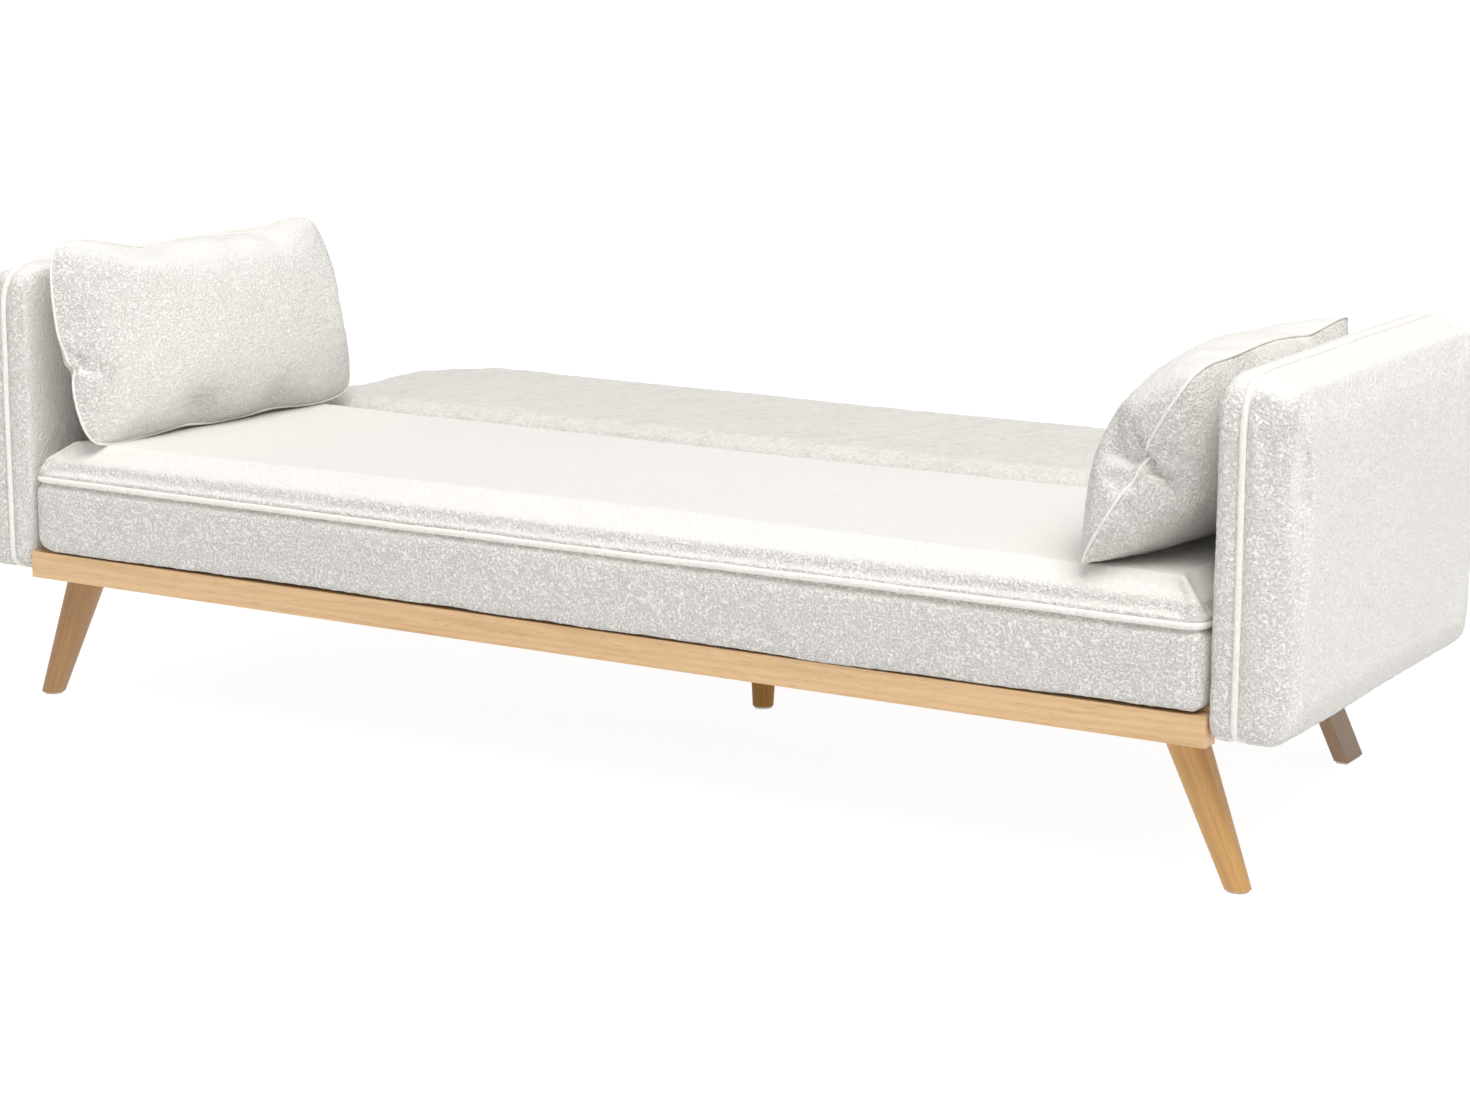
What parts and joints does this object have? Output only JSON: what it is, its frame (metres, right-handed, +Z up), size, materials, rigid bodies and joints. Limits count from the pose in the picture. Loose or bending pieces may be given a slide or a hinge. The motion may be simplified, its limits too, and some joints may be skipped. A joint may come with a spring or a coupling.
{
  "type": "click-clack daybed",
  "caption": "Upholstered click-clack daybed with its back folded flat, padded arms, loose pillows, oak front rail and splayed oak front legs.",
  "frame": {"origin": "on the floor, under the middle of the length and of the depth of the lowered bed", "axes": "+X along the length towards the right arm seen from the front, +Y to the back, +Z up"},
  "size_m": [2, 0.995, 0.6658],
  "materials": {
    "oak": "clear satin lacquer over pale oak",
    "softwood": "planed softwood, unfinished",
    "beech": "bent laminated beech slats, unfinished",
    "plywood": "plywood panel, unfinished",
    "stained_beech": "amber-brown stain",
    "brown_lacquer": "smooth brown lacquer",
    "foam": "open-cell upholstery foam",
    "teddy_boucle": "curly cream pile",
    "cream_weave": "flat cream weave with slubs",
    "black_lining": "black spun-bonded lining",
    "webbing": "elastic upholstery webbing",
    "pale_felt": "pressed felt",
    "zinc_steel": "bright zinc plate",
    "black_steel": "black powder coat"
  },
  "bodies": {
    "seat_frame": {"front_rail": "oak", "front_leg_left": "oak", "front_leg_right": "oak", "front_beam": "softwood", "side_rail_left": "softwood", "side_rail_right": "softwood", "rear_rail": "softwood", "cross_rail_1": "softwood", "cross_rail_2": "softwood", "cross_rail_3": "softwood", "slat_ledgers": "softwood", "arm_spacer_left": "softwood", "arm_spacer_right": "softwood", "seat_slats": "beech", "arm_panel_left": "plywood", "arm_panel_right": "plywood", "center_leg": "stained_beech", "rear_leg_left": "brown_lacquer", "rear_leg_right": "brown_lacquer", "seat_foam": "foam", "arm_foam_left": "foam", "arm_foam_right": "foam", "seat_cover": "teddy_boucle", "arm_cover_left": "teddy_boucle", "arm_cover_right": "teddy_boucle", "dust_cover": "black_lining", "floor_glides": "pale_felt", "leg_bolts": "zinc_steel", "arm_bolts": "zinc_steel", "hinge_seat_screws": "zinc_steel", "hinge_pins": "zinc_steel", "pawl_pins": "zinc_steel", "stop_pins": "zinc_steel", "pawl_springs": "zinc_steel", "hinge_seat_plate_left": "black_steel", "hinge_seat_plate_right": "black_steel"},
    "backrest": {"back_bottom_rail": "softwood", "back_top_rail": "softwood", "back_stile_left": "softwood", "back_stile_right": "softwood", "back_struts": "softwood", "back_webbing": "webbing", "back_foam": "foam", "back_cover": "cream_weave", "back_lining": "black_lining", "hinge_back_plate_left": "black_steel", "hinge_back_plate_right": "black_steel", "hinge_back_screws": "zinc_steel"},
    "left_pawl": {"ratchet_pawl_left": "zinc_steel"},
    "right_pawl": {"ratchet_pawl_right": "zinc_steel"},
    "left_pillow": {"pillow_left": "teddy_boucle"},
    "right_pillow": {"pillow_right": "teddy_boucle"}
  },
  "joints": [
    {"name": "back_fold", "type": "hinge", "parent": "seat_frame", "child": "backrest", "pos_m": [0, 0.1165, 0.348], "axis": [1, 0, 0], "range_deg": [0, 90]},
    {"name": "left_pawl_swing", "type": "hinge", "parent": "seat_frame", "child": "left_pawl", "pos_m": [0, 0.11339, 0.29681], "axis": [1, 0, 0], "range_deg": [-5, 9], "stiffness_Nm_per_rad": 0.5},
    {"name": "right_pawl_swing", "type": "hinge", "parent": "seat_frame", "child": "right_pawl", "pos_m": [0, 0.11339, 0.29681], "axis": [1, 0, 0], "range_deg": [-5, 9], "stiffness_Nm_per_rad": 0.5},
    {"name": "left_pillow_lift", "type": "slide", "parent": "seat_frame", "child": "left_pillow", "axis": [0, 0, 1], "range_m": [0, 0.35]},
    {"name": "right_pillow_lift", "type": "slide", "parent": "seat_frame", "child": "right_pillow", "axis": [0, 0, 1], "range_m": [0, 0.35]}
  ]
}
